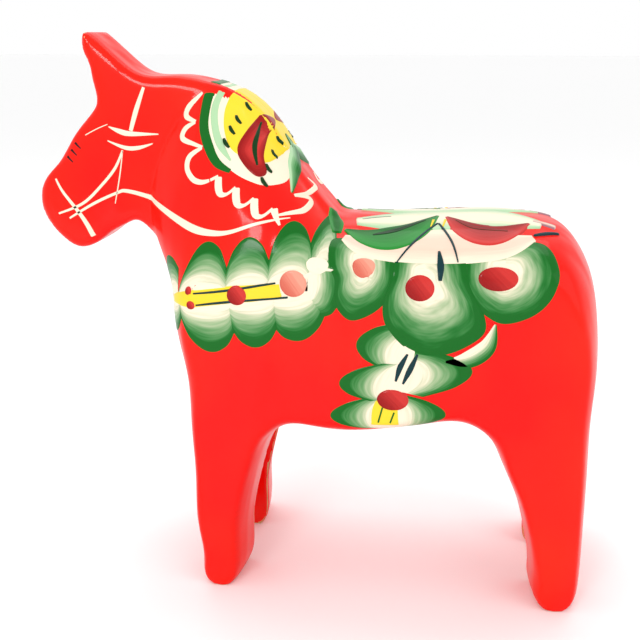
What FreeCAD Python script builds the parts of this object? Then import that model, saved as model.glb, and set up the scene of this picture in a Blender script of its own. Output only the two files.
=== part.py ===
"""A carved and painted wooden horse: three glued pine boards under a red coat and brush-painted ornament.

The frame has its origin on the floor under the middle of the horse. +X points to the rump, -X to the nose,
+Z up. The horse stands across Y, with its left side towards -Y. Lengths are millimetres.

Outlines are drawn for a horse of OUTLINE_HEIGHT and follow the height cell of the sheet.
"""

import FreeCAD
import Part
import Sketcher

import math
import os

from FreeCAD import Placement, Rotation, Vector

OUTLINE_HEIGHT = 244.0

# alias, value, what it is
CELLS = [
    ("height", 244.0, "floor to the tip of the ears"),
    ("board", 27.0, "thickness of the middle board, which is also that of the head"),
    ("half_width", 42.0, "middle plane to the flat of the flank"),
    ("edge", 3.5, "how far from the face of the head its corner rounding starts"),
    ("gap_foot", 35.0, "distance between left and right legs at the floor"),
    ("gap_crotch", 29.6, "the same where the arch between them starts"),
    ("gap_height", 72.0, "floor to the top of that arch"),
    ("coat", 0.5, "primer and red ground colour together"),
    ("paint", 0.3, "one layer of brushed ornament"),
]

# Outline points on the middle plane: x, z, and how far the carving rounds that point in by the flat of the
# flank. The feet dip below the floor, where the saw cuts them flat.
BACK = [(14, 167, 18), (34, 167, 19), (56, 168, 20), (78, 169, 20), (94, 168, 20), (106, 165, 18)]
RUMP = [(115, 156, 15), (121, 143, 13), (124, 126, 10), (125, 106, 8), (124, 86, 7)]
HIND_LEG = [
    (124, 66, 6), (124, 36, 5), (124, 12, 5), (122, 3, 4), (116, -2, 3), (108, -2, 3), (102, 3, 4),
    (101, 12, 5), (100, 20, 5), (97, 34, 5), (92, 50, 5), (85, 65, 6), (79, 75, 8),
]
BELLY = [(70, 80, 10), (54, 79, 10), (37, 76, 10), (20, 74, 10), (4, 75, 10), (-8, 75, 9)]
FRONT_LEG = [
    (-15, 70, 7), (-20, 59, 6), (-24, 43, 6), (-27, 25, 5), (-27, 12, 5), (-29, 3, 4), (-34, -2, 3),
    (-42, -2, 3), (-48, 3, 4), (-49, 12, 5), (-51, 28, 5), (-52, 54, 6), (-54, 78, 8),
]
CHEST = [(-56, 98, 11), (-60, 115, 13), (-62, 130, 15)]

# The middle board stops short of the legs: the arch between them trims it here.
CORE_REAR = [(124, 68, 6), (118, 58, 5), (96, 56, 5), (86, 63, 5), (79, 75, 8)]
CORE_FRONT = [(-15, 70, 7), (-22, 58, 5), (-34, 54, 5), (-48, 58, 6), (-54, 78, 8)]

# The neck and head, all in the middle board: x, z, and the rounding of the corner along its edge.
NECK_FRONT = [(-65, 143, 2), (-69, 155, 2), (-74, 161, 2)]
HEAD = [
    (-79, 164, 2), (-85, 162, 2), (-92, 158, 3), (-99, 153, 3), (-107, 151, 3), (-114, 155, 3),
    (-120, 162, 3), (-123, 170, 3), (-122, 178, 3), (-114, 188, 3), (-105, 201, 3), (-97, 210, 2),
]
EARS = [
    (-94, 215, 2), (-95, 223, 2), (-97, 233, 2), (-99, 240, 2), (-98, 244, 1), (-94, 242, 2), (-86, 235, 2),
    (-77, 228, 2),
]
CREST = [
    (-70, 226, 3), (-58, 226, 3), (-46, 224, 3), (-36, 221, 3), (-27, 216, 3), (-19, 208, 2), (-12, 198, 2),
    (-5, 187, 2), (2, 178, 2), (8, 171, 1),
]

# The neck as it swells out of the side boards: x, z at the middle board, then x, z at the flat of the flank.
SHOULDER = [
    (-65, 145, -47, 138), (-70, 160, -39, 145), (-70, 182, -29, 150), (-61, 204, -20, 153),
    (-47, 217, -13, 154), (-33, 216, -6, 154), (-21, 205, 0, 153), (-10, 191, 5, 152), (1, 176, 10, 151),
]
SHOULDER_SWELL = 1.25  # exponent of the swelling curve: 1 is a straight slope, 2 is an ellipse
MITRE_LIMIT = 0.5  # the least cosine that a corner's mitre is worked out for

# Where the outlines lie: shares of half the middle board, and of a side board from its glued face outwards.
CORE_STATIONS = [0, 0.4, 0.75, 0.92, 1]
FLANK_STATIONS = [0, 0.22, 0.45, 0.67, 0.83, 0.945, 0.99, 1]

# Ornament as seen from the left. A brush stroke is a list of x, z, width along its middle; a petal is a closed
# outline of x, z; a dot is x, z, radius along X, radius along Z. The right side mirrors it.
DOT_POINTS = 8
BRIDLE = [
    [(-72, 222, 2), (-76, 212, 2), (-79, 203, 2)],
    [(-89, 205, 1), (-84, 203, 2), (-79, 202, 2), (-66, 202, 1)],
    [(-90, 199, 1), (-82, 196, 2), (-69, 198, 1)],
    [(-83, 195, 1.5), (-93, 180, 1.5), (-107, 169, 1.5), (-115, 166, 1)],
    [(-82, 194, 1), (-88, 172, 1)],
    [(-115, 182, 1), (-107, 171, 2), (-99, 157, 3)],
    [(-105, 166, 1), (-88, 176, 1.5), (-80, 177, 2), (-70, 173, 2.5)],
]
REIN = [[(-66, 172, 3), (-58, 169, 3.5), (-44, 164, 3.5), (-30, 165, 2), (-12, 169, 1)]]
EYELASHES = [
    [(-105, 198, 1.5), (-102, 195, 0.5)],
    [(-107, 195, 1.5), (-104, 192, 0.5)],
    [(-108, 192, 1.5), (-106, 188, 0.5)],
]

# The scroll comes down in zigzags and goes on in hooks, each the same and each lower than the last.
ZIGZAGS = [
    [(-48, 216, 1.5), (-52, 212, 2.5), (-52, 209, 2.5), (-48, 208, 1)],
    [(-48, 206, 1), (-53, 203, 2.5), (-52, 200, 2.5), (-45, 198, 1)],
    [(-45, 196, 1), (-50, 192, 2.5), (-50, 187, 2.5), (-45, 184, 2), (-40, 185, 1)],
]
HOOK = [(0, 0, 1), (0, -5, 2.5), (4, -7, 2.5), (7, -4, 1)]
HOOK_STARTS = [(-36, 186), (-28, 182), (-20, 179), (-13, 176)]
LAST_CURL = [(-5, 179, 1), (-1, 177, 2), (-1, 174, 1.5), (-4, 173, 1)]
MANE_SCROLL = ZIGZAGS + [[(x + dx, z + dz, w) for dx, dz, w in HOOK] for x, z in HOOK_STARTS] + [LAST_CURL]

MANE_RIM = [[
    (-41, 225, 3.5), (-43, 215, 4.5), (-43, 207, 4.5), (-40, 198, 4.5), (-36, 192, 3.5), (-30, 190, 1.5),
]]
MANE_FIELD = [[
    (-35, 225), (-39, 216), (-39, 208), (-34, 199), (-28, 194), (-21, 197), (-17, 202), (-15, 207), (-20, 215),
    (-27, 221),
]]
MANE_BUD = [[
    (-21, 211), (-18, 206), (-17, 198), (-15, 191), (-15, 186), (-21, 187), (-27, 192), (-28, 198), (-25, 204),
]]
MANE_LEAF = [[(-15, 202), (-10, 195), (-6, 189), (-5, 182), (-11, 185), (-13, 192), (-15, 197)]]
BREAST_PETALS = [[
    (-59, 146), (-51, 155), (-41, 158), (-31, 154), (-22, 162), (-14, 157), (-5, 167), (3, 162), (8, 166),
    (12, 160), (12, 140), (7, 128), (-3, 122), (-11, 125), (-19, 119), (-28, 123), (-37, 116), (-46, 122),
    (-52, 120), (-57, 128), (-60, 137),
]]
BREAST_RIBBON = [[
    (-57, 133), (-52, 139), (-46, 141), (-31, 143), (-10, 146), (-5, 142), (-9, 137), (-30, 134), (-45, 131),
    (-53, 130),
]]
BREAST_LINES = [
    [(-47, 139, 1), (-31, 141, 1), (-10, 144, 1)],
    [(-46, 134, 1), (-31, 136, 1), (-9, 139, 1)],
]
BREAST_BERRIES = [(-48, 140, 2, 2), (-47, 134, 2, 2), (-27, 139, 4, 4), (-3, 145, 5, 5)]
BREAST_STEM = [[(0, 147, 2), (8, 151, 2), (13, 151, 1)]]
SADDLE_PETALS = [
    [
        (12, 163), (11, 155), (16, 144), (14, 133), (20, 130), (28, 133), (34, 138), (36, 148), (34, 155),
        (24, 160),
    ],
    [
        (38, 148), (36, 139), (36, 129), (42, 120), (50, 117), (58, 116), (67, 121), (76, 128), (73, 133),
        (67, 142), (63, 153), (54, 158), (44, 155),
    ],
    [
        (92, 163), (99, 160), (103, 154), (101, 144), (95, 136), (84, 133), (76, 135), (70, 141), (65, 153),
        (72, 159), (82, 161),
    ],
]
SADDLE_LEAF = [[(54, 167, 1), (45, 164, 5), (35, 161, 8), (26, 162, 5), (17, 164, 1)]]
SADDLE_FLOWER = [[(58, 167, 1), (66, 165, 4), (75, 164, 7), (84, 165, 4), (91, 166, 1)]]
SADDLE_BERRIES = [(26, 152, 5, 5), (49, 145, 6, 6), (80, 150, 8, 5)]
SADDLE_WHISKERS = [
    [(54, 165, 1), (47, 160, 1), (39, 154, 0.5)],
    [(56, 165, 1), (61, 161, 1), (64, 156, 0.5)],
    [(56, 159, 1), (57, 155, 3), (57, 149, 1.5)],
]
BACK_DASHES = [[(94, 164, 1), (99, 164, 2), (103, 162, 1)], [(22, 166, 1), (28, 166, 1), (34, 166, 1)]]
GIRTH_PETALS = [[
    (36, 126), (28, 123), (26, 117), (31, 111), (22, 107), (21, 98), (27, 95), (17, 91), (17, 85), (28, 85),
    (40, 88), (55, 87), (58, 91), (51, 98), (62, 99), (67, 105), (65, 113), (56, 115), (47, 116), (40, 120),
]]
GIRTH_RIBBON = [[(32, 96), (30, 89), (29, 83), (36, 82), (42, 84), (42, 90), (41, 96)]]
GIRTH_BERRY = [(39, 97, 7, 5)]
GIRTH_STROKES = [
    [(45, 114, 1), (42, 110, 2.5), (40, 104, 1)],
    [(49, 114, 1), (46, 109, 2.5), (44, 103, 1)],
    [(35, 91, 1), (33, 85, 1)],
    [(39, 91, 1), (38, 85, 1)],
]

HEAD_NODES = ("bridle", "eyelashes")  # the ornament that lies on the flat of the middle board

# Node, its strokes, petals or dots, and the nodes painted over it.
ORNAMENT = [
    ("bridle", BRIDLE, ()),
    ("rein", REIN, ()),
    ("eyelashes", EYELASHES, ()),
    ("mane_scroll", MANE_SCROLL, ()),
    ("mane_rim", MANE_RIM, ("mane_field",)),
    ("mane_field", MANE_FIELD, ("mane_bud", "mane_leaf")),
    ("mane_bud", MANE_BUD, ("mane_leaf",)),
    ("mane_leaf", MANE_LEAF, ()),
    ("breast_petals", BREAST_PETALS, ("breast_ribbon", "breast_berries", "saddle_petals", "saddle_leaf")),
    ("breast_ribbon", BREAST_RIBBON, ("breast_lines", "breast_berries")),
    ("breast_lines", BREAST_LINES, ("breast_berries",)),
    ("breast_berries", BREAST_BERRIES + BREAST_STEM, ()),
    ("saddle_petals", SADDLE_PETALS, ("saddle_leaf", "saddle_flower", "saddle_berries", "saddle_whiskers")),
    ("saddle_leaf", SADDLE_LEAF, ("saddle_whiskers", "back_dashes")),
    ("saddle_flower", SADDLE_FLOWER, ("saddle_whiskers",)),
    ("saddle_berries", SADDLE_BERRIES, ()),
    ("saddle_whiskers", SADDLE_WHISKERS, ()),
    ("back_dashes", BACK_DASHES, ()),
    ("girth_petals", GIRTH_PETALS, ("saddle_petals", "girth_ribbon", "girth_berry", "girth_strokes")),
    ("girth_ribbon", GIRTH_RIBBON, ("girth_strokes", "girth_berry")),
    ("girth_berry", GIRTH_BERRY, ()),
    ("girth_strokes", GIRTH_STROKES, ("girth_berry",)),
]


def make_sheet(doc):
    sheet = doc.addObject("Spreadsheet::Sheet", "Sizes")
    for row, (alias, value, meaning) in enumerate(CELLS, start=1):
        sheet.set(f"A{row}", meaning)
        sheet.set(f"B{row}", str(value))
        sheet.setAlias(f"B{row}", alias)
    doc.recompute()
    return sheet


def moved_out(points, distances):
    """The closed clockwise outline with each point moved out along its own mitre by its own distance."""
    result = []
    for i, (x, z) in enumerate(points):
        before_x, before_z = points[i - 1]
        after_x, after_z = points[(i + 1) % len(points)]
        arriving = Vector(x - before_x, 0, z - before_z).normalize()
        leaving = Vector(after_x - x, 0, after_z - z).normalize()
        along = (arriving + leaving).normalize()
        reach = distances[i] / max(MITRE_LIMIT, along.dot(arriving))
        result.append((x - along.z * reach, z + along.x * reach))
    return result


def ease(share, exponent):
    """0 to 1 as share goes from 0 to 1, along a superellipse."""
    return 1 - (1 - share ** exponent) ** (1 / exponent)


def core_outline(sheet, share, grow):
    """The middle board's outline at a share of the way from the middle plane to its face."""
    trunk = BACK + RUMP + CORE_REAR + BELLY + CORE_FRONT + CHEST
    front = NECK_FRONT + HEAD + EARS + CREST
    y = share * sheet.board / 2
    corner = ease(max(0, y - (sheet.board / 2 - sheet.edge)) / sheet.edge, 2)
    dome = ease(y / sheet.half_width, 2)
    rounding = [r * dome for x, z, r in trunk] + [r * corner for x, z, r in front]
    return moved_out([(x, z) for x, z, r in trunk + front], [grow - r for r in rounding])


def flank_outline(sheet, share, grow):
    """A side board's outline at a share of the way from its glued face to the flat of the flank."""
    rim = BACK + RUMP + HIND_LEG + BELLY + FRONT_LEG + CHEST
    inner = sheet.board / 2
    dome = ease((inner + (sheet.half_width - inner) * share) / sheet.half_width, 2)
    swell = ease(share, SHOULDER_SWELL)
    neck = [(x + (far_x - x) * swell, z + (far_z - z) * swell) for x, z, far_x, far_z in SHOULDER]
    distances = [grow - r * dome for x, z, r in rim] + [grow] * len(neck)
    return moved_out([(x, z) for x, z, r in rim] + neck, distances)


def travelled(points):
    """The distance round the closed outline to each point, and to the first one again."""
    steps = [math.dist(points[i], points[(i + 1) % len(points)]) for i in range(len(points))]
    return [sum(steps[:i]) for i in range(len(points) + 1)]


def running_counts(*stretches):
    """Where each stretch of an outline starts, counted in points, and where the last one ends."""
    counts = [0]
    for stretch in stretches:
        counts.append(counts[-1] + len(stretch))
    return counts


def skin(curves, places):
    """The face through curves that share their knots, each at its place across the face."""
    columns = []
    for i in range(1, curves[0].NbPoles + 1):
        column = Part.BSplineCurve()
        column.interpolate(Points=[curve.getPole(i) for curve in curves], Parameters=places)
        columns.append(column)
    along, across = curves[0], columns[0]
    surface = Part.BSplineSurface()
    surface.buildFromPolesMultsKnots(
        [column.getPoles() for column in columns],
        along.getMultiplicities(), across.getMultiplicities(),
        along.getKnots(), across.getKnots(),
        False, False, along.Degree, across.Degree,
    )
    return surface.toShape()


def carved_solid(outlines, ys, breaks):
    """A closed solid skinned over one outline at each y, with a face from each break to the next and flat ends.

    A loft feature chooses its own knots for each outline and ripples. Here every outline has the knots of the
    first, so the carved faces run smooth.
    """
    knots = travelled(outlines[0])
    curves = []
    for outline, y in zip(outlines, ys):
        curve = Part.BSplineCurve()
        curve.interpolate(Points=[Vector(x, y, z) for x, z in outline], PeriodicFlag=True, Parameters=knots)
        curves.append(curve)
    places = [0]
    for i in range(1, len(ys)):
        places.append(places[-1] + math.dist((*outlines[i][0], ys[i]), (*outlines[i - 1][0], ys[i - 1])))
    faces = []
    ends = [[], []]
    for first, last in zip(breaks, breaks[1:]):
        stretches = [curve.copy() for curve in curves]
        for stretch in stretches:
            stretch.segment(knots[first], knots[last])
        faces.append(skin(stretches, places))
        ends[0].append(stretches[0].toShape())
        ends[1].append(stretches[-1].toShape())
    faces += [Part.Face(Part.Wire(edges)) for edges in ends]
    shell = Part.makeShell(faces)
    shell.sewShape()
    solid = Part.makeSolid(shell)
    if solid.Volume < 0:
        solid.reverse()
    return solid


def add_feature(doc, name, shape):
    feature = doc.addObject("Part::Feature", name)
    feature.Shape = shape
    feature.Placement = Placement(Vector(0, 0, 0), Rotation())
    return feature


def scaled(sheet, points):
    scale = sheet.height / OUTLINE_HEIGHT
    return [(x * scale, z * scale) for x, z in points]


def make_core_form(doc, sheet, name, grow):
    half = sheet.board / 2 + grow
    shares = [-share for share in reversed(CORE_STATIONS[1:])] + CORE_STATIONS
    outlines = [scaled(sheet, core_outline(sheet, abs(share), grow)) for share in shares]
    breaks = running_counts(BACK, RUMP, CORE_REAR, BELLY, CORE_FRONT, CHEST, NECK_FRONT, HEAD, EARS, CREST)
    return add_feature(doc, name, carved_solid(outlines, [half * share for share in shares], breaks))


def make_flank_form(doc, sheet, name, side, grow):
    inner = sheet.board / 2
    depth = sheet.half_width + grow - inner
    outlines = [scaled(sheet, flank_outline(sheet, share, grow)) for share in FLANK_STATIONS]
    ys = [side * (inner + depth * share) for share in FLANK_STATIONS]
    breaks = running_counts(BACK, RUMP, HIND_LEG, BELLY, FRONT_LEG, CHEST, SHOULDER)
    return add_feature(doc, name, carved_solid(outlines, ys, breaks))


def add_sketch(body, name, role):
    sketch = body.newObject("Sketcher::SketchObject", name)
    plane = next(feature for feature in body.Origin.OriginFeatures if feature.Role == role)
    sketch.AttachmentSupport = (plane, [""])
    sketch.MapMode = "FlatFace"
    return sketch


def make_gap(doc, sheet, name, grow):
    """The arched space between the left and right legs, all along X. A grown form leaves a smaller one."""
    body = doc.addObject("PartDesign::Body", name)
    sketch = add_sketch(body, f"{name}_arch", "YZ_Plane")
    below = sheet.height / 20
    half_foot = sheet.gap_foot / 2
    radius = sheet.gap_crotch / 2
    spring = sheet.gap_height - radius
    foot_left, foot_right = Vector(-half_foot, -below, 0), Vector(half_foot, -below, 0)
    spring_left, spring_right = Vector(-radius, spring, 0), Vector(radius, spring, 0)
    circle = Part.Circle(Vector(0, spring, 0), Vector(0, 0, 1), radius)
    sketch.addGeometry(Part.LineSegment(foot_left, foot_right), False)
    sketch.addGeometry(Part.LineSegment(foot_right, spring_right), False)
    sketch.addGeometry(Part.ArcOfCircle(circle, 0, math.pi), False)
    sketch.addGeometry(Part.LineSegment(spring_left, foot_left), False)
    foot, right, crown, left = range(4)
    start, end, centre = 1, 2, 3
    origin, upright = -1, -2
    for limit in (
        ("Coincident", foot, end, right, start),
        ("Coincident", right, end, crown, start),
        ("Coincident", crown, end, left, start),
        ("Coincident", left, end, foot, start),
        ("Symmetric", foot, start, foot, end, upright),
        ("PointOnObject", crown, centre, upright),
        ("Horizontal", crown, centre, crown, start),
        ("Horizontal", crown, centre, crown, end),
        ("DistanceY", foot, start, origin, start, below),
    ):
        sketch.addConstraint(Sketcher.Constraint(*limit))
    for size, expression in (
        (("DistanceX", foot, start, foot, end, 2 * half_foot), f"Sizes.gap_foot - {2 * grow}"),
        (("Radius", crown, radius), f"Sizes.gap_crotch / 2 - {grow}"),
        (("DistanceY", origin, start, crown, centre, spring), "Sizes.gap_height - Sizes.gap_crotch / 2"),
    ):
        number = sketch.addConstraint(Sketcher.Constraint(*size))
        sketch.setExpression(f"Constraints[{number}]", expression)
    pad = body.newObject("PartDesign::Pad", f"{name}_pad")
    pad.Profile = sketch
    pad.Midplane = True
    pad.setExpression("Length", "Sizes.height * 2")
    return body


def make_floor(doc):
    """The floor as a slab that planes off the feet."""
    slab = doc.addObject("Part::Box", "floor_slab")
    for size, expression in (
        ("Length", "Sizes.height * 2"), ("Width", "Sizes.height * 2"), ("Height", "Sizes.height / 10"),
        ("Placement.Base.x", "-Sizes.height"), ("Placement.Base.y", "-Sizes.height"),
        ("Placement.Base.z", "-Sizes.height / 10"),
    ):
        slab.setExpression(size, expression)
    return slab


def fuse(doc, name, shapes):
    result = doc.addObject("Part::MultiFuse", name)
    result.Shapes = shapes
    result.Refine = False
    return result


def cut(doc, name, base, tool):
    result = doc.addObject("Part::Cut", name)
    result.Base = base
    result.Tool = tool
    result.Refine = False
    return result


def make_boards(doc, sheet, floor):
    gap = make_gap(doc, sheet, "gap", 0)
    waste = fuse(doc, "waste", [gap, floor])
    core = make_core_form(doc, sheet, "centre_blank", 0)
    left = make_flank_form(doc, sheet, "left_blank", -1, 0)
    right = make_flank_form(doc, sheet, "right_blank", 1, 0)
    return [
        cut(doc, "centre_board", core, gap),
        cut(doc, "left_board", left, waste),
        cut(doc, "right_board", right, waste),
    ]


def make_red_forms(doc, sheet):
    """The outside of each board under its red coat."""
    return [
        make_core_form(doc, sheet, "centre_red", sheet.coat),
        make_flank_form(doc, sheet, "left_red", -1, sheet.coat),
        make_flank_form(doc, sheet, "right_red", 1, sheet.coat),
    ]


def make_coat(doc, sheet, floor, boards, red_forms):
    """The red film on each board, none on the glued faces or under the soles, in one node."""
    gap = make_gap(doc, sheet, "painted_gap", sheet.coat)
    waste = fuse(doc, "painted_waste", [gap, floor])
    _, left_form, right_form = red_forms
    films = []
    for board, form in zip(boards, red_forms):
        whole = cut(doc, f"{board.Name}_painted", form, waste)
        films.append(cut(doc, f"{board.Name}_film", whole, board))
    on_head = cut(doc, "centre_film_left_clear", films[0], left_form)
    films[0] = cut(doc, "centre_film_clear", on_head, right_form)
    coat = doc.addObject("Part::Compound", "red_coat")
    coat.Links = films
    return coat


def stroke_curves(middle):
    """The two long edges and two short ends of a brush stroke, from its middle line of x, z, width."""
    sides = [[], []]
    for i, (x, z, width) in enumerate(middle):
        back_x, back_z, _ = middle[max(0, i - 1)]
        next_x, next_z, _ = middle[min(len(middle) - 1, i + 1)]
        along = Vector(next_x - back_x, next_z - back_z, 0).normalize()
        across = Vector(-along.y, along.x, 0) * (width / 2)
        sides[0].append(Vector(x, z, 0) + across)
        sides[1].append(Vector(x, z, 0) - across)
    curves = []
    for side in sides:
        curve = Part.BSplineCurve()
        curve.interpolate(Points=side)
        curves.append(curve)
    ends = [Part.LineSegment(sides[0][end], sides[1][end]) for end in (0, -1)]
    return curves + ends


def ring_curves(points):
    """One closed smooth curve."""
    curve = Part.BSplineCurve()
    curve.interpolate(Points=[Vector(x, z, 0) for x, z in points], PeriodicFlag=True)
    return [curve]


def mark_curves(mark):
    """The outline of a dot, a stroke or a petal."""
    if isinstance(mark, tuple):
        x, z, radius_x, radius_z = mark
        turns = [2 * math.pi * step / DOT_POINTS for step in range(DOT_POINTS)]
        return ring_curves([(x + radius_x * math.cos(turn), z + radius_z * math.sin(turn)) for turn in turns])
    if len(mark[0]) == 3:
        return stroke_curves(mark)
    return ring_curves(mark)


def make_mark(doc, sheet, name, mark):
    """A prism with the outline of one mark, from the middle plane out past the left flank."""
    sketch = doc.addObject("Sketcher::SketchObject", f"{name}_outline")
    sketch.Placement = Placement(Vector(0, 0, 0), Rotation(Vector(1, 0, 0), 90))
    for curve in mark_curves(mark):
        curve.scale(Vector(0, 0, 0), sheet.height / OUTLINE_HEIGHT)
        sketch.addGeometry(curve, False)
    prism = doc.addObject("Part::Extrusion", f"{name}_prism")
    prism.Base = sketch
    prism.DirMode = "Normal"
    prism.Solid = True
    prism.setExpression("LengthFwd", "Sizes.half_width * 1.5")
    return prism


def make_ornament(doc, sheet, red_forms):
    """Every motif as a film on the red coat inside its marks and outside the motifs painted over it."""
    grow = sheet.coat + sheet.paint
    head = (red_forms[0], make_core_form(doc, sheet, "head_over", grow))
    flank = (red_forms[1], make_flank_form(doc, sheet, "flank_over", -1, grow))
    prisms = {}
    for name, marks, _ in ORNAMENT:
        parts = [make_mark(doc, sheet, f"{name}_{i}", mark) for i, mark in enumerate(marks)]
        prisms[name] = parts[0] if len(parts) == 1 else fuse(doc, f"{name}_prisms", parts)
    motifs = []
    for name, _, covers in ORNAMENT:
        red, over = head if name in HEAD_NODES else flank
        block = doc.addObject("Part::Common", f"{name}_block")
        block.Base = over
        block.Tool = prisms[name]
        film = cut(doc, f"{name}_film", block, red)
        for cover in covers:
            film = cut(doc, f"{name}_less_{cover}", film, prisms[cover])
        mirrored = doc.addObject("Part::Mirroring", f"{name}_right")
        mirrored.Source = film
        mirrored.Normal = Vector(0, 1, 0)
        both = doc.addObject("Part::Compound", name)
        both.Links = [film, mirrored]
        motifs.append(both)
    return motifs


def check(objects, parts):
    faults = [f"{item.Label}: {item.State}" for item in objects if {"Invalid", "Error"} & set(item.State)]
    for part in parts:
        if part.Shape.isNull() or not part.Shape.isValid() or not part.Shape.Solids:
            faults.append(f"{part.Label} has no valid solid")
    if faults:
        raise RuntimeError("; ".join(faults))


def main():
    doc = FreeCAD.newDocument("dala_horse")
    sheet = make_sheet(doc)
    floor = make_floor(doc)
    boards = make_boards(doc, sheet, floor)
    red_forms = make_red_forms(doc, sheet)
    coat = make_coat(doc, sheet, floor, boards, red_forms)
    parts = boards + [coat] + make_ornament(doc, sheet, red_forms)
    doc.recompute()
    check(doc.Objects, parts)
    os.makedirs("parts", exist_ok=True)
    for part in parts:
        part.Shape.exportStep(f"parts/{part.Label}.step")


main()
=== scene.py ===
import math

import bmesh
import bpy
from mathutils import Matrix, Vector
from mathutils.bvhtree import BVHTree


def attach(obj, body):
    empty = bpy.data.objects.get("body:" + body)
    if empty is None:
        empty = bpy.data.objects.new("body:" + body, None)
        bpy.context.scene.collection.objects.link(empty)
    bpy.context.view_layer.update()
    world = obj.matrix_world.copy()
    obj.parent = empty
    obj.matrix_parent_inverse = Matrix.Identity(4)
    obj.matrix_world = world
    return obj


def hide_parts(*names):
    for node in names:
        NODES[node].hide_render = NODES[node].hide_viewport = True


# The painted wooden horse: the three boards of the frame, a red skin over them and brush strokes on the skin.
# Points are written in millimetres of the frame (nose to -X, left side to -Y) and turned into metres by MM.

MM = 0.001
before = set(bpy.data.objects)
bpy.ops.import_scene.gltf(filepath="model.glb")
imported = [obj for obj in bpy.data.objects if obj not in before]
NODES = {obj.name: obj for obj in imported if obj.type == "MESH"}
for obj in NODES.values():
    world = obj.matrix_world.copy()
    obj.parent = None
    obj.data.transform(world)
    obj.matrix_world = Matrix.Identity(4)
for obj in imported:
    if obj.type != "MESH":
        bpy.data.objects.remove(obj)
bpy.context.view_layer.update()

BOARDS = ("centre_board", "left_board", "right_board")
VOXEL = 1.3 * MM        # grain of the carved skin's mesh
COAT = 0.5 * MM         # thickness of the red coat over the wood
COAT_LEAST = 0.3 * MM   # and where the smoothing wears it thin
SOLE_EDGE = 0.25 * MM   # the red stops this far above the floor
SMOOTH_SHARE = 0.5      # how far each smoothing round moves a point towards its neighbours
SMOOTH_ROUNDS = 8
STROKE_STEP = 0.9 * MM  # spacing of the rows of a brush stroke
STROKE_LEAST = 0.15     # a stroke is never narrower than this, in mm
STROKE_LIFT = 0.12 * MM  # one layer of paint
AIM_STEP = 0.01         # share of a stroke looked ahead and behind to find its direction
PETAL_RINGS = 20        # rows of a petal's mesh, from its rim to its heart
ARCH_POINTS = 9         # points on a petal's rim
DOT_TURNS = 32          # points round a berry
DOT_RINGS = 9           # and from its rim to its middle
DOT_LEAN = math.radians(35)  # the lighter side of a berry faces this way, up from the +X axis
RIM_SINK = 0.12 * MM    # how far the edge of a stroke is pressed into the skin
LEFT_OF_HORSE = -0.2    # where the lines of sight from the left start
EYE_GAMMA = 2.2         # wet paints mix as the eye sees them, not as light adds up
SHEEN = 0.04            # how much the paint itself shines under the varnish
VARNISH = 0.3           # how much of the varnish is left
ROUNDNESS = 0.7         # of a petal's rim: 1 is a plain arc, less is squarer


# ---------------------------------------------------------------- colours, linear

def srgb(red, green, blue):
    """A colour as the eye reads it, 0 to 255, in the renderer's linear numbers."""
    shares = (red / 255, green / 255, blue / 255)
    return tuple(((share + 0.055) / 1.055) ** 2.4 if share > 0.04 else share / 12.92 for share in shares)


RED = srgb(228, 6, 2)
RED_WARM = srgb(236, 30, 6)
CREAM = srgb(238, 224, 200)
PINK = srgb(228, 196, 176)
GREEN = srgb(6, 96, 22)
GREEN_DEEP = srgb(4, 52, 12)
GREEN_MID = srgb(36, 132, 48)
GREEN_PALE = srgb(168, 204, 160)
YELLOW = srgb(240, 206, 48)
BERRY = srgb(142, 12, 12)
BERRY_LIT = srgb(196, 48, 44)
SALMON = srgb(200, 96, 78)
SALMON_LIT = srgb(226, 150, 128)
TEAL = srgb(6, 48, 54)
BLACK = srgb(18, 16, 18)
MAUVE = srgb(150, 110, 120)
PINE = srgb(214, 178, 128)
PINE_RING = srgb(176, 128, 78)


# ---------------------------------------------------------------- the carved skin

def joined_boards():
    """One mesh with the closed solids of the three boards."""
    mesh = bpy.data.meshes.new("red_skin")
    joined = bmesh.new()
    for node in BOARDS:
        joined.from_mesh(NODES[node].data)
    joined.to_mesh(mesh)
    joined.free()
    return mesh


def search_tree(mesh):
    corners = [vertex.co.copy() for vertex in mesh.vertices]
    return BVHTree.FromPolygons(corners, [polygon.vertices[:] for polygon in mesh.polygons])


def apply_modifiers(piece):
    solid = piece.evaluated_get(bpy.context.evaluated_depsgraph_get())
    mesh = bpy.data.meshes.new_from_object(solid)
    piece.modifiers.clear()
    piece.data = mesh


def make_skin():
    """The horse as one smooth red surface, a coat's thickness outside the wood."""
    skin = bpy.data.objects.new("red_skin", joined_boards())
    bpy.context.scene.collection.objects.link(skin)
    wood = search_tree(skin.data)
    remesh = skin.modifiers.new("remesh", "REMESH")
    remesh.mode = "VOXEL"
    remesh.voxel_size = VOXEL
    apply_modifiers(skin)
    swell(skin.data, COAT)
    smooth = skin.modifiers.new("smooth", "SMOOTH")
    smooth.factor = SMOOTH_SHARE
    smooth.iterations = SMOOTH_ROUNDS
    apply_modifiers(skin)
    clear_wood(skin.data, wood)
    skin.data.shade_smooth()
    return skin


def swell(mesh, distance):
    normals = [v.normal.copy() for v in mesh.vertices]
    for vertex, normal in zip(mesh.vertices, normals):
        vertex.co += normal * distance


def clear_wood(mesh, wood):
    """Moves every point that the smoothing brought too near the wood back out."""
    for vertex in mesh.vertices:
        place, normal, _, _ = wood.find_nearest(vertex.co)
        height = (vertex.co - place).dot(normal)
        if height < COAT_LEAST:
            vertex.co += normal * (COAT_LEAST - height)


def open_soles(mesh):
    """Takes the red away under the feet, where the wood is bare."""
    shape = bmesh.new()
    shape.from_mesh(mesh)
    everything = shape.verts[:] + shape.edges[:] + shape.faces[:]
    bmesh.ops.bisect_plane(
        shape, geom=everything, plane_co=(0, 0, SOLE_EDGE), plane_no=(0, 0, -1), clear_outer=True,
    )
    shape.to_mesh(mesh)
    shape.free()
    mesh.shade_smooth()


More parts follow.
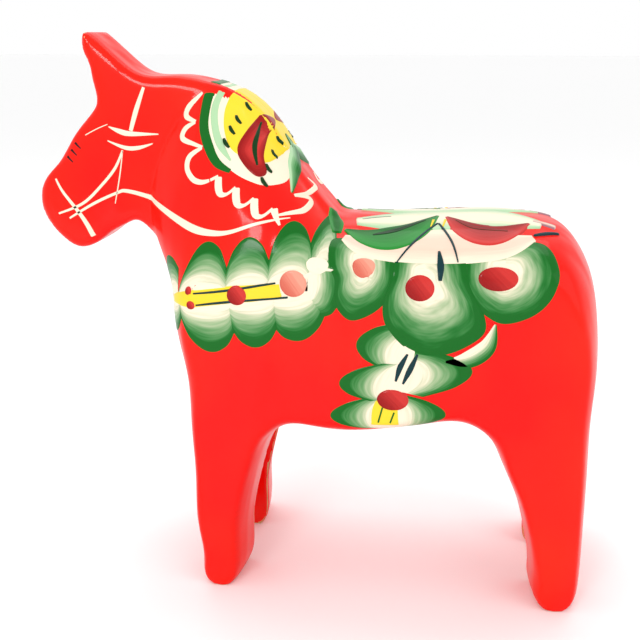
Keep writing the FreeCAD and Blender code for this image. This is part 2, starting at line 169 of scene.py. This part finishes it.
# ---------------------------------------------------------------- brush strokes

class Canvas:
    """The skin as a surface to paint on."""

    def __init__(self, skin):
        self.tree = search_tree(skin.data)

    def place(self, point):
        """A point given as x, z (seen from the left) or x, y, z (anywhere near), in mm, on the skin."""
        if len(point) == 2:
            x, z = point
            hit, _, _, _ = self.tree.ray_cast(Vector((x * MM, LEFT_OF_HORSE, z * MM)), Vector((0, 1, 0)))
            if hit is not None:
                return hit
            return self.tree.find_nearest(Vector((x * MM, 0, z * MM)))[0]
        return self.tree.find_nearest(Vector(point) * MM)[0]

    def lift(self, point, height):
        place, normal, _, _ = self.tree.find_nearest(point)
        return place + normal * height


def through(points, share):
    """A point on the smooth curve through the points, which may carry more than three numbers."""
    spans = len(points) - 1
    span = min(int(share * spans), spans - 1)
    t = share * spans - span
    before = points[max(0, span - 1)]
    start, end = points[span], points[span + 1]
    after = points[min(spans, span + 2)]
    result = []
    for a, b, c, d in zip(before, start, end, after):
        bend = (2 * a - 5 * b + 4 * c - d) * t ** 2 + (3 * b - a - 3 * c + d) * t ** 3
        result.append(b + ((c - a) * t + bend) / 2)
    return result


def length_of(points):
    return sum((Vector(b[:3]) - Vector(a[:3])).length for a, b in zip(points, points[1:]))


class Paint:
    """The strokes of one ornament node, gathered into one mesh on both sides of the horse."""

    def __init__(self, canvas, name, node):
        self.canvas = canvas
        self.name = name
        self.node = node
        self.places = []
        self.faces = []
        self.uvs = []
        self.tones = []

    def grid(self, rows, uvs, outer, inner, layer, on_rim):
        """A patch from rows of points on the skin, on both sides. Its rim is pressed into the skin."""
        for side in (1, -1):
            first = len(self.places)
            for i, row in enumerate(rows):
                for j, point in enumerate(row):
                    height = -RIM_SINK if on_rim(i, j) else STROKE_LIFT * layer
                    self.places.append(self.canvas.lift(Vector((point.x, point.y * side, point.z)), height))
                    self.uvs.append(uvs[i][j])
                    self.tones.append((outer, inner))
            self.add_faces(first, len(rows), len(rows[0]), side)

    def add_faces(self, first, row_count, row_length, side):
        for i in range(row_count - 1):
            for j in range(row_length - 1):
                a = first + i * row_length + j
                corners = (a, a + 1, a + 1 + row_length, a + row_length)
                self.faces.append(corners if side > 0 else corners[::-1])

    def stroke(self, points, widths, outer, inner, layer=1, across=7, loaded=False):
        """A brush stroke along a line. loaded paints outer on one side and inner on the other."""
        spine = [tuple(self.canvas.place(p)) for p in points]
        path = [(*p, w) for p, w in zip(spine, widths)]
        count = max(6, int(length_of(spine) / STROKE_STEP))
        rows, uvs = [], []
        travelled = 0
        last = None
        for i in range(count + 1):
            x, y, z, width = through(path, i / count)
            here = Vector((x, y, z))
            ahead = Vector(through(path, min(1, i / count + AIM_STEP))[:3])
            behind = Vector(through(path, max(0, i / count - AIM_STEP))[:3])
            _, normal, _, _ = self.canvas.tree.find_nearest(here)
            sideways = normal.cross(ahead - behind).normalized()
            travelled += (here - last).length / MM if last else 0
            last = here
            row, row_uvs = [], []
            for j in range(across):
                share = j / (across - 1)
                row.append(here + sideways * (share - 0.5) * max(STROKE_LEAST, width) * MM)
                row_uvs.append((travelled, share if loaded else 1 - abs(2 * share - 1)))
            rows.append(row)
            uvs.append(row_uvs)
        self.grid(rows, uvs, outer, inner, layer, lambda i, j: i in (0, count) or j in (0, across - 1))

    def petal(self, rim, heart, outer, inner, layer=1):
        """A rounded petal: brushed round its rim, from the rim in to the heart, a short line of points."""
        edge = [tuple(self.canvas.place(p)) for p in rim]
        middle = [tuple(self.canvas.place(p)) for p in heart]
        if len(middle) == 1:
            middle = middle * 2
        count = max(16, int(length_of(edge) / STROKE_STEP))
        rows, uvs = [], []
        travelled = 0
        last = None
        for i in range(count + 1):
            start = Vector(through(edge, i / count))
            end = Vector(through(middle, i / count))
            travelled += (start - last).length / MM if last else 0
            last = start
            shares = [j / (PETAL_RINGS - 1) for j in range(PETAL_RINGS)]
            rows.append([start.lerp(end, share) for share in shares])
            uvs.append([(travelled * (1 - 0.5 * share), share) for share in shares])
        self.grid(rows, uvs, outer, inner, layer, lambda i, j: j == 0)

    def dot(self, centre, radius_x, radius_z, outer, inner, layer):
        """A round berry, one side of the brush in each colour: inner lies towards DOT_LEAN."""
        middle = self.canvas.place(centre)
        rows, uvs = [], []
        direction = Vector((math.cos(DOT_LEAN), math.sin(DOT_LEAN)))
        for i in range(DOT_TURNS + 1):
            angle = 2 * math.pi * i / DOT_TURNS
            round_x, round_z = math.cos(angle), math.sin(angle)
            rim = middle + Vector((round_x * radius_x, 0, round_z * radius_z)) * MM
            row, row_uvs = [], []
            for j in range(DOT_RINGS):
                share = 1 - j / (DOT_RINGS - 1)
                row.append(middle.lerp(rim, share))
                along = (round_x * direction.x + round_z * direction.y) * share
                crosswise = (round_z * direction.x - round_x * direction.y) * share
                row_uvs.append((crosswise * radius_x, 0.5 + 0.5 * along))
            rows.append(row)
            uvs.append(row_uvs)
        self.grid(rows, uvs, outer, inner, layer, lambda i, j: j == 0)

    def finish(self, material):
        mesh = bpy.data.meshes.new(self.name)
        mesh.from_pydata(self.places, [], self.faces)
        layer = mesh.uv_layers.new(name="brush")
        outer = mesh.color_attributes.new("outer", "FLOAT_COLOR", "POINT")
        inner = mesh.color_attributes.new("inner", "FLOAT_COLOR", "POINT")
        for loop in mesh.loops:
            layer.data[loop.index].uv = self.uvs[loop.vertex_index]
        for i, (rim_tone, heart_tone) in enumerate(self.tones):
            outer.data[i].color = (*rim_tone, 1)
            inner.data[i].color = (*heart_tone, 1)
        mesh.shade_smooth()
        mesh.materials.append(material)
        piece = bpy.data.objects.new(self.name, mesh)
        bpy.context.scene.collection.objects.link(piece)
        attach(piece, "root")
        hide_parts(self.node)


# ---------------------------------------------------------------- materials

class Nodes:
    """A short way to write a node tree."""

    def __init__(self, name):
        self.material = bpy.data.materials.new(name)
        self.material.use_nodes = True
        self.tree = self.material.node_tree
        self.shader = self.tree.nodes["Principled BSDF"]

    def add(self, kind, inputs=None, **settings):
        node = self.tree.nodes.new(kind)
        for key, value in settings.items():
            setattr(node, key, value)
        for key, value in (inputs or {}).items():
            self.feed(node.inputs[key], value)
        return node

    def feed(self, socket, value):
        if isinstance(value, bpy.types.NodeSocket):
            self.tree.links.new(value, socket)
        else:
            socket.default_value = value

    def noise(self, coords, scale, detail=3.0, roughness=0.5):
        inputs = {"Vector": coords, "Scale": scale, "Detail": detail, "Roughness": roughness}
        return self.add("ShaderNodeTexNoise", inputs).outputs["Fac"]

    def stretched(self, coords, scale):
        return self.add("ShaderNodeMapping", {"Vector": coords, "Scale": scale}).outputs["Vector"]

    def mix(self, share, one, other):
        node = self.tree.nodes.new("ShaderNodeMix")
        node.data_type = "RGBA"
        self.feed(node.inputs["Factor"], share)
        self.feed(node.inputs["A"], one)
        self.feed(node.inputs["B"], other)
        return node.outputs["Result"]

    def gamma(self, colour, power):
        return self.add("ShaderNodeGamma", {"Color": colour, "Gamma": power}).outputs["Color"]

    def math(self, operation, one, other):
        node = self.add("ShaderNodeMath", operation=operation)
        self.feed(node.inputs[0], one)
        self.feed(node.inputs[1], other)
        return node.outputs["Value"]

    def between(self, value, low, high):
        """0 below low, 1 above high."""
        inputs = {"Value": value, "From Min": low, "From Max": high}
        return self.add("ShaderNodeMapRange", inputs, clamp=True).outputs["Result"]

    def bump(self, height, distance, strength, under=None):
        inputs = {"Height": height, "Distance": distance, "Strength": strength}
        if under is not None:
            inputs["Normal"] = under
        return self.add("ShaderNodeBump", inputs).outputs["Normal"]


def rgba(colour):
    return (*colour, 1)


def red_material():
    """Varnished red oil paint over knife-cut wood: soft facets and faint brush lines."""
    n = Nodes("red_paint")
    place = n.add("ShaderNodeNewGeometry").outputs["Position"]
    cloud = n.noise(place, 14.0, 2.0)
    brushed = n.noise(n.stretched(place, (60, 300, 900)), 1.0, 4.0, 0.6)
    tone = n.mix(n.between(cloud, 0.35, 0.7), rgba(RED), rgba(RED_WARM))
    tone = n.mix(n.math("MULTIPLY", n.between(brushed, 0.5, 0.8), 0.12), tone, rgba(srgb(160, 4, 4)))
    n.feed(n.shader.inputs["Base Color"], tone)
    n.shader.inputs["Roughness"].default_value = 0.32
    n.shader.inputs["Specular IOR Level"].default_value = SHEEN
    n.shader.inputs["Coat Weight"].default_value = VARNISH
    n.shader.inputs["Coat Roughness"].default_value = 0.09
    facets = n.noise(n.stretched(place, (60, 60, 22)), 1.0, 1.0)
    carved = n.bump(facets, 3 * MM, 0.8)
    n.feed(n.shader.inputs["Normal"], n.bump(brushed, 0.05 * MM, 0.35, carved))
    n.feed(n.shader.inputs["Coat Normal"], carved)
    return n.material


def brush_material():
    """Two paints loaded on one flat brush, streaked along the stroke from the outer colour to the inner."""
    n = Nodes("brush_paint")
    uv = n.add("ShaderNodeUVMap", uv_map="brush").outputs["UV"]
    split = n.add("ShaderNodeSeparateXYZ", {"Vector": uv})
    streaks = n.noise(n.stretched(uv, (0.05, 9.0, 1.0)), 1.0, 2.0, 0.6)
    fine = n.noise(n.stretched(uv, (0.08, 32.0, 1.0)), 1.0, 1.0, 0.5)
    drift = n.math("MULTIPLY", n.math("SUBTRACT", streaks, 0.5), 0.45)
    share = n.math("ADD", split.outputs["Y"], drift)
    outer = n.add("ShaderNodeVertexColor", layer_name="outer").outputs["Color"]
    inner = n.add("ShaderNodeVertexColor", layer_name="inner").outputs["Color"]
    blend = n.mix(n.between(share, 0.16, 0.72), n.gamma(outer, 1 / EYE_GAMMA), n.gamma(inner, 1 / EYE_GAMMA))
    tone = n.mix(n.math("MULTIPLY", n.between(fine, 0.5, 0.8), 0.14), n.gamma(blend, EYE_GAMMA), outer)
    n.feed(n.shader.inputs["Base Color"], tone)
    n.shader.inputs["Roughness"].default_value = 0.35
    n.shader.inputs["Specular IOR Level"].default_value = SHEEN
    n.shader.inputs["Coat Weight"].default_value = VARNISH
    n.shader.inputs["Coat Roughness"].default_value = 0.12
    n.feed(n.shader.inputs["Normal"], n.bump(streaks, 0.08 * MM, 0.6))
    return n.material


def pine_material():
    """Planed pine: growth rings stretched along the boards."""
    n = Nodes("bare_pine")
    place = n.add("ShaderNodeNewGeometry").outputs["Position"]
    rings = n.noise(n.stretched(place, (12, 240, 90)), 1.0, 4.0, 0.55)
    n.feed(n.shader.inputs["Base Color"], n.mix(n.between(rings, 0.35, 0.7), rgba(PINE), rgba(PINE_RING)))
    n.shader.inputs["Roughness"].default_value = 0.7
    n.feed(n.shader.inputs["Normal"], n.bump(rings, 0.1 * MM, 0.5))
    return n.material


# ---------------------------------------------------------------- the ornament

def arched(left, crest, right):
    """A rounded petal's rim: from left over the crest to right, full like a flat brush turned on the spot."""
    points = []
    for i in range(ARCH_POINTS):
        share = i / (ARCH_POINTS - 1)
        rise = math.sin(math.pi * share) ** ROUNDNESS
        point = [a + (b - a) * share + (c - (a + b) / 2) * rise for a, b, c in zip(left, right, crest)]
        points.append(tuple(point))
    return points


def paint_bridle(canvas, brush):
    paint = Paint(canvas, "painted_bridle", "bridle")
    for points, widths in (
        ([(-72, 222), (-76, 212), (-79, 203)], (1.5, 2.5, 2)),
        ([(-89, 205), (-84, 203), (-79, 202), (-66, 202)], (0.5, 2.5, 2.5, 0.5)),
        ([(-90, 199), (-82, 196), (-76, 196), (-69, 198)], (0.5, 2, 2, 0.5)),
        ([(-83, 195), (-87, 187), (-94, 179), (-103, 171), (-115, 166)], (1, 1.5, 1.5, 1.5, 1)),
        ([(-83, 195), (-85, 184), (-88, 171)], (0.5, 0.7, 0.5)),
        ([(-115, 182), (-112, 176), (-106, 168), (-102, 162), (-99, 156)], (1, 1.5, 2, 2.5, 3)),
        ([(-100, 201), (-94, 204), (-89, 206)], (0.5, 0.5, 0.4)),
    ):
        paint.stroke(points, widths, CREAM, CREAM)
    paint.finish(brush)


def paint_rein(canvas, brush):
    paint = Paint(canvas, "painted_rein", "rein")
    points = [(-110, 164), (-98, 171), (-87, 176), (-82, 177), (-70, 174), (-58, 169), (-47, 165), (-38, 164),
              (-30, 165), (-18, 169), (-5, 171)]
    paint.stroke(points, (1, 1.5, 1.5, 2, 2.5, 3.5, 4, 3, 2, 1.5, 0.5), CREAM, CREAM)
    paint.finish(brush)


def paint_eyelashes(canvas, brush):
    paint = Paint(canvas, "painted_eyelashes", "eyelashes")
    for root, tip in (((-105, 198), (-102, 195)), ((-107, 195), (-104, 192)), ((-109, 192), (-106, 189))):
        paint.stroke([root, tip], (1.5, 0.5), BLACK, BLACK)
    paint.finish(brush)


def paint_mane_scroll(canvas, brush):
    """Zigzags down the side of the neck, then hooks one below the other, then a curl by the crest."""
    paint = Paint(canvas, "painted_mane_scroll", "mane_scroll")
    for points, widths in (
        ([(-46, 220), (-52, 214), (-53, 210), (-48, 208)], (1, 3, 3, 1.5)),
        ([(-48, 208), (-53, 205), (-54, 201), (-48, 199), (-44, 198)], (1.5, 3, 3, 2, 1.5)),
        ([(-44, 198), (-50, 194), (-51, 189), (-48, 185), (-44, 184), (-40, 185)],
         (1.5, 3, 3, 3, 2.5, 1.5)),
        ([(-40, 185), (-36, 187)], (1.5, 1.5)),
        ([(-2, -9, 184), (1, -6, 180), (0, -18, 179), (-5, -27, 179)], (1, 3, 2.5, 1.5)),
        ([(-5, -27, 179), (1, -18, 176), (-1, -29, 173), (-11, -37, 172)], (1.5, 3, 3, 1)),
    ):
        paint.stroke(points, widths, CREAM, CREAM)
    hook = [(0, 0), (0, -4), (1, -7), (4, -7), (8, -4)]
    for number in range(3):
        x, z = -36 + 8 * number, 187 - 4 * number
        paint.stroke([(x + dx, z + dz) for dx, dz in hook], (3.5, 4, 3.5, 1.5, 1.5), CREAM, CREAM)
    paint.stroke([(-12, 175), (-11, 172), (-9, 168)], (4, 3, 1), CREAM, CREAM)
    paint.finish(brush)


def paint_mane_rim(canvas, brush):
    """The medallion's cream ground, with a dark green arc and a pale one along its front."""
    paint = Paint(canvas, "painted_mane_rim", "mane_rim")
    ground = [(-41, 1, 225), (-44, 214), (-43, 204), (-38, 195), (-31, 189), (-23, 185), (-15, 183),
              (-8, 184), (-7, 190), (-11, 1, 197), (-16, 1, 204), (-21, 1, 211), (-28, 1, 217),
              (-34, 1, 221), (-41, 1, 225)]
    paint.petal(ground, [(-26, 204)], CREAM, CREAM)
    inside = [(-37, 222), (-40, 214), (-39, 206), (-36, 199), (-31, 193)]
    paint.stroke(inside, (2, 4, 4, 4, 1), GREEN_PALE, GREEN_PALE, layer=2)
    outside = [(-41, 1, 225), (-44, 215), (-44, 206), (-41, 198), (-37, 192), (-31, 189)]
    paint.stroke(outside, (4, 5, 5, 5, 4, 2), GREEN, GREEN, layer=3)
    paint.finish(brush)


def paint_mane_field(canvas, brush):
    paint = Paint(canvas, "painted_mane_field", "mane_field")
    rim = [(-34, 1, 221), (-36, 213), (-35, 204), (-31, 197), (-24, 194), (-15, 192), (-11, 1, 197),
           (-16, 1, 204), (-21, 1, 211), (-27, 1, 217), (-34, 1, 221)]
    paint.petal(rim, [(-25, 206)], YELLOW, YELLOW, layer=3)
    # this stroke fills the field's edge along the crest
    paint.stroke([(-34, 219), (-27, 214), (-20, 208), (-15, 200)], (3, 6, 6, 4), YELLOW, YELLOW, layer=3)
    seeds = ((-27, 214), (-30, 209), (-32, 205), (-34, 200), (-14, 200), (-15, 195), (-16, 190), (-17, 185))
    for x, z in seeds:
        paint.stroke([(x - 1, z + 2), (x, z), (x + 2, z - 2)], (1, 2, 1), GREEN_DEEP, GREEN_DEEP, layer=6)
    paint.finish(brush)


def paint_mane_bud(canvas, brush):
    paint = Paint(canvas, "painted_mane_bud", "mane_bud")
    rim = [(-22, 211), (-18, 208), (-18, 202), (-18, 195), (-16, 188), (-20, 187), (-26, 192), (-29, 198),
           (-26, 205), (-22, 211)]
    paint.petal(rim, [(-22, 197)], BERRY, BERRY_LIT, layer=4)
    paint.stroke([(-21, 208), (-22, 199), (-20, 191)], (1, 3, 1), GREEN_DEEP, GREEN_DEEP, layer=5)
    paint.finish(brush)


def paint_mane_leaf(canvas, brush):
    paint = Paint(canvas, "painted_mane_leaf", "mane_leaf")
    blade = [(-13, 202), (-9, 196), (-7, 190), (-6, 180)]
    paint.stroke(blade, (2, 9, 9, 1), GREEN_PALE, GREEN, layer=5, loaded=True)
    paint.finish(brush)


def paint_breast_petals(canvas, brush):
    """A row of petals above the breast ribbon and a row below it, each on its own stretch of the ribbon."""
    paint = Paint(canvas, "painted_breast_petals", "breast_petals")
    for number, (left, crest, right, foot_left, foot_right) in enumerate((
        ((-62, 135), (-62, 151), (-54, 148), (-60, 133), (-54, 135)),
        ((-54, 136), (-42, 160), (-31, 151), (-54, 135), (-32, 138)),
        ((-31, 151), (-22, 164), (-13, 155), (-32, 138), (-14, 140)),
        ((-13, 155), (-5, 170), (4, 160), (-14, 140), (3, 142)),
        ((3, 160), (9, 169), (15, 156), (2, 142), (14, 144)),
        ((-62, 132), (-58, 119), (-52, 127), (-60, 134), (-53, 136)),
        ((-53, 129), (-40, 113), (-28, 123), (-54, 137), (-29, 139)),
        ((-29, 123), (-19, 116), (-10, 125), (-31, 139), (-12, 141)),
        ((-11, 125), (1, 120), (11, 133), (-13, 141), (3, 143)),
        ((10, 131), (17, 140), (15, 157), (2, 142), (3, 148)),
    )):
        paint.petal(arched(left, crest, right), [foot_left, foot_right], GREEN, CREAM, layer=1 + number % 2)
    paint.dot((7, 153), 5, 4, CREAM, CREAM, layer=3)    # over a place that the last two petals leave red
    paint.finish(brush)


def paint_breast_ribbon(canvas, brush):
    paint = Paint(canvas, "painted_breast_ribbon", "breast_ribbon")
    points = [(-57, 134), (-51, 136), (-45, 137), (-31, 139), (-20, 140), (-8, 142)]
    paint.stroke(points, (4, 8, 9, 9, 9, 7), YELLOW, YELLOW, layer=3)
    paint.finish(brush)


def paint_breast_lines(canvas, brush):
    paint = Paint(canvas, "painted_breast_lines", "breast_lines")
    for points in ([(-46, 139), (-31, 141), (-10, 145)], [(-45, 134), (-31, 136), (-5, 139)]):
        paint.stroke(points, (1, 1.5, 1), GREEN_DEEP, TEAL, layer=4)
    paint.finish(brush)


def paint_breast_berries(canvas, brush):
    paint = Paint(canvas, "painted_breast_berries", "breast_berries")
    for centre, radius in (((-48, 140), 2), ((-47, 134), 2), ((-27, 139), 4.5)):
        paint.dot(centre, radius, radius, BERRY, BERRY_LIT, layer=5)
    paint.dot((-3, 145), 6, 6, SALMON, SALMON_LIT, layer=5)
    paint.stroke([(0, 147), (8, 151), (14, 151)], (2, 2, 1), CREAM, CREAM, layer=3)
    paint.finish(brush)


def paint_saddle_petals(canvas, brush):
    """Three broad petals, each brushed round its berry, hang from a cream ground on the back."""
    paint = Paint(canvas, "painted_saddle_petals", "saddle_petals")
    for rim, heart, layer in (
        ([(24, 162), (12, 162), (11, 154), (14, 146), (14, 137), (20, 130), (28, 132), (35, 138), (39, 148),
          (36, 160), (24, 162)], (26, 154), 3),
        ([(52, 162), (40, 160), (37, 149), (34, 139), (35, 129), (42, 120), (50, 116), (58, 116), (68, 120),
          (76, 127), (75, 136), (70, 146), (66, 158), (52, 162)], (50, 149), 4),
        ([(84, 163), (68, 162), (65, 152), (68, 142), (76, 134), (84, 131), (95, 135), (102, 143), (104, 154),
          (98, 162), (84, 163)], (82, 152), 3),
    ):
        paint.petal(rim, [heart], GREEN, CREAM, layer=layer)
    below_flower = [(16, -30, 162), (28, -33, 160), (56, -33, 161), (80, -33, 161), (94, -27, 162)]
    above_flower = [(20, -15, 167), (40, -12, 168), (58, -11, 169), (80, -12, 169), (98, -15, 167)]
    paint.stroke(below_flower, (4, 17, 24, 17, 4), CREAM, PINK, layer=5, across=13)
    paint.stroke(above_flower, (8, 26, 28, 26, 8), GREEN_PALE, CREAM, layer=5, across=13)
    paint.stroke([(9, -10, 170), (12, -18, 168), (13, -27, 163)], (5, 7, 4), GREEN_MID, GREEN, layer=6)
    paint.finish(brush)


def paint_saddle_leaf(canvas, brush):
    paint = Paint(canvas, "painted_saddle_leaf", "saddle_leaf")
    blade = [(55, -8, 168), (46, -23, 166), (36, -29, 163), (26, -29, 163), (16, -24, 164)]
    paint.stroke(blade, (1, 15, 19, 13, 1), GREEN, GREEN_MID, layer=6, across=13, loaded=True)
    paint.stroke([(50, -14, 167), (38, -24, 165), (28, -28, 163)], (1, 4, 1), GREEN_DEEP, GREEN_DEEP, layer=7)
    paint.finish(brush)


def paint_saddle_flower(canvas, brush):
    paint = Paint(canvas, "painted_saddle_flower", "saddle_flower")
    blade = [(58, -10, 168), (66, -23, 167), (75, -28, 165), (84, -25, 166), (93, -16, 168)]
    paint.stroke(blade, (1, 13, 17, 11, 1), BERRY_LIT, BERRY, layer=6, across=13, loaded=True)
    paint.stroke([(62, -15, 168), (70, -23, 166), (84, -25, 165)], (1, 3, 1), GREEN_DEEP, BERRY, layer=7)
    for x in (53, 58):
        paint.stroke([(x, -14, 168), (x - 1, -22, 166)], (1.5, 0.6), YELLOW, YELLOW, layer=8)
    paint.finish(brush)


def paint_saddle_berries(canvas, brush):
    paint = Paint(canvas, "painted_saddle_berries", "saddle_berries")
    paint.dot((26, 153), 5, 5, SALMON, SALMON_LIT, layer=6)
    paint.dot((49, 145), 6.5, 6, BERRY, BERRY_LIT, layer=6)
    paint.dot((80, 150), 8.5, 5.5, BERRY, BERRY_LIT, layer=6)
    paint.finish(brush)


def paint_saddle_whiskers(canvas, brush):
    paint = Paint(canvas, "painted_saddle_whiskers", "saddle_whiskers")
    paint.stroke([(55, -18, 167), (47, -30, 162), (39, -40, 154)], (1, 1.2, 0.6), TEAL, TEAL, layer=8)
    paint.stroke([(55, -18, 167), (61, -32, 162), (64, -40, 155)], (1, 1.2, 0.6), TEAL, TEAL, layer=8)
    paint.stroke([(56, 159), (57, 154), (57, 148)], (1, 3.5, 1.5), TEAL, TEAL, layer=8)
    paint.finish(brush)


def paint_back_dashes(canvas, brush):
    paint = Paint(canvas, "painted_back_dashes", "back_dashes")
    paint.stroke([(94, -12, 168), (104, -14, 166)], (3, 5), MAUVE, PINK, layer=6)
    paint.stroke([(94, -26, 165), (99, -23, 165), (105, -19, 164)], (1, 2, 1), TEAL, TEAL, layer=6)
    paint.stroke([(22, -13, 167), (28, -10, 167), (35, -8, 167)], (0.8, 1.5, 0.8), TEAL, GREEN_PALE, layer=6)
    paint.finish(brush)


def paint_girth_petals(canvas, brush):
    """Petals left and right of a middle line that comes down from the saddle, and a sliver behind it."""
    paint = Paint(canvas, "painted_girth_petals", "girth_petals")
    for number, (left, crest, right, foot_left, foot_right) in enumerate((
        ((39, 130), (23, 121), (33, 110), (46, 122), (42, 110)),
        ((34, 112), (16, 103), (29, 95), (44, 112), (38, 96)),
        ((30, 97), (12, 88), (26, 82), (38, 96), (38, 82)),
        ((46, 119), (72, 111), (52, 98), (44, 113), (42, 100)),
        ((42, 99), (62, 91), (46, 83), (38, 96), (38, 82)),
    )):
        paint.petal(arched(left, crest, right), [foot_left, foot_right], GREEN, CREAM, layer=1 + number % 2)
    paint.stroke([(46, 121), (43, 108), (39, 96), (38, 84)], (6, 8, 7, 6), CREAM, CREAM, layer=3)
    sliver = [(60, 114), (69, 115), (77, 121), (80, 131)]
    paint.stroke(sliver, (1, 8, 8, 1), GREEN, CREAM, layer=2, loaded=True)
    paint.finish(brush)


def paint_girth_ribbon(canvas, brush):
    paint = Paint(canvas, "painted_girth_ribbon", "girth_ribbon")
    paint.stroke([(38, 98), (36, 91), (36, 84)], (9, 12, 13), YELLOW, YELLOW, layer=4, across=9)
    paint.finish(brush)


def paint_girth_berry(canvas, brush):
    paint = Paint(canvas, "painted_girth_berry", "girth_berry")
    paint.dot((39, 96), 7, 5, BERRY, BERRY_LIT, layer=6)
    paint.finish(brush)


def paint_girth_strokes(canvas, brush):
    paint = Paint(canvas, "painted_girth_strokes", "girth_strokes")
    for points, widths, tone in (
        ([(45, 117), (42, 111), (40, 104)], (1, 3, 1), TEAL),
        ([(49, 117), (46, 110), (43, 103)], (1, 3, 1), TEAL),
        ([(35, 93), (33, 85)], (1, 1), GREEN),
        ([(40, 91), (38, 85)], (1, 1), GREEN),
    ):
        paint.stroke(points, widths, tone, tone, layer=5)
    paint.finish(brush)


ORNAMENT = (
    paint_bridle, paint_rein, paint_eyelashes, paint_mane_scroll, paint_mane_rim, paint_mane_field,
    paint_mane_bud, paint_mane_leaf, paint_breast_petals, paint_breast_ribbon, paint_breast_lines,
    paint_breast_berries, paint_saddle_petals, paint_saddle_leaf, paint_saddle_flower, paint_saddle_berries,
    paint_saddle_whiskers, paint_back_dashes, paint_girth_petals, paint_girth_ribbon, paint_girth_berry,
    paint_girth_strokes,
)


def main():
    skin = make_skin()
    canvas = Canvas(skin)
    open_soles(skin.data)
    skin.data.materials.append(red_material())
    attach(skin, "root")
    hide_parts("red_coat")
    pine = pine_material()
    for node in BOARDS:
        NODES[node].data.materials.clear()
        NODES[node].data.materials.append(pine)
    brush = brush_material()
    for paint_motif in ORNAMENT:
        paint_motif(canvas, brush)
    make_stage()
    make_camera()


# ---------------------------------------------------------------- floor, light and camera

CAMERA_PLACE = Vector((62, -416, 243)) * MM
CAMERA_PITCH = math.radians(16.7)   # below level
CAMERA_YAW = math.radians(8.2)      # turned towards the nose
CAMERA_LENS = 53.4
FLOOR_REACH = 12                    # metres to each side
FLOOR_TONE = (0.97, 0.97, 0.97, 1)


def make_camera():
    data = bpy.data.cameras.new("camera")
    data.lens = CAMERA_LENS
    data.clip_start = 0.01
    camera = bpy.data.objects.new("camera", data)
    ahead = Vector((
        -math.sin(CAMERA_YAW) * math.cos(CAMERA_PITCH),
        math.cos(CAMERA_YAW) * math.cos(CAMERA_PITCH),
        -math.sin(CAMERA_PITCH),
    ))
    sideways = Vector((math.cos(CAMERA_YAW), math.sin(CAMERA_YAW), 0))
    upwards = sideways.cross(ahead)
    turned = Matrix((sideways, upwards, -ahead)).transposed().to_4x4()
    camera.matrix_world = Matrix.Translation(CAMERA_PLACE) @ turned
    bpy.context.scene.collection.objects.link(camera)
    bpy.context.scene.camera = camera


def add_softbox(name, place, target, size, power):
    data = bpy.data.lights.new(name, "AREA")
    data.shape = "RECTANGLE"
    data.size, data.size_y = size
    data.energy = power
    lamp = bpy.data.objects.new(name, data)
    lamp.location = place
    lamp.rotation_euler = (Vector(target) - Vector(place)).to_track_quat("-Z", "Y").to_euler()
    bpy.context.scene.collection.objects.link(lamp)


def make_stage():
    mesh = bpy.data.meshes.new("floor")
    corners = [(x * FLOOR_REACH, y * FLOOR_REACH, 0) for x, y in ((-1, -1), (1, -1), (1, 1), (-1, 1))]
    mesh.from_pydata(corners, [], [(0, 1, 2, 3)])
    floor = bpy.data.objects.new("floor", mesh)
    bpy.context.scene.collection.objects.link(floor)
    n = Nodes("pale_floor")
    n.shader.inputs["Base Color"].default_value = FLOOR_TONE
    n.shader.inputs["Roughness"].default_value = 0.6
    mesh.materials.append(n.material)
    world = bpy.data.worlds.new("studio")
    world.use_nodes = True
    world.node_tree.nodes["Background"].inputs["Color"].default_value = (1, 1, 1, 1)
    world.node_tree.nodes["Background"].inputs["Strength"].default_value = 1.0
    bpy.context.scene.world = world
    add_softbox("key", (-0.3, -0.95, 0.46), (0, 0, 0.13), (0.28, 0.2), 3)
    add_softbox("fill", (0.9, -0.6, 0.6), (0, 0, 0.12), (0.8, 0.8), 1.5)
    add_softbox("top", (0, 0.35, 1.0), (0, 0, 0.1), (0.9, 0.6), 3)
    bpy.context.scene.view_settings.view_transform = "Standard"


main()
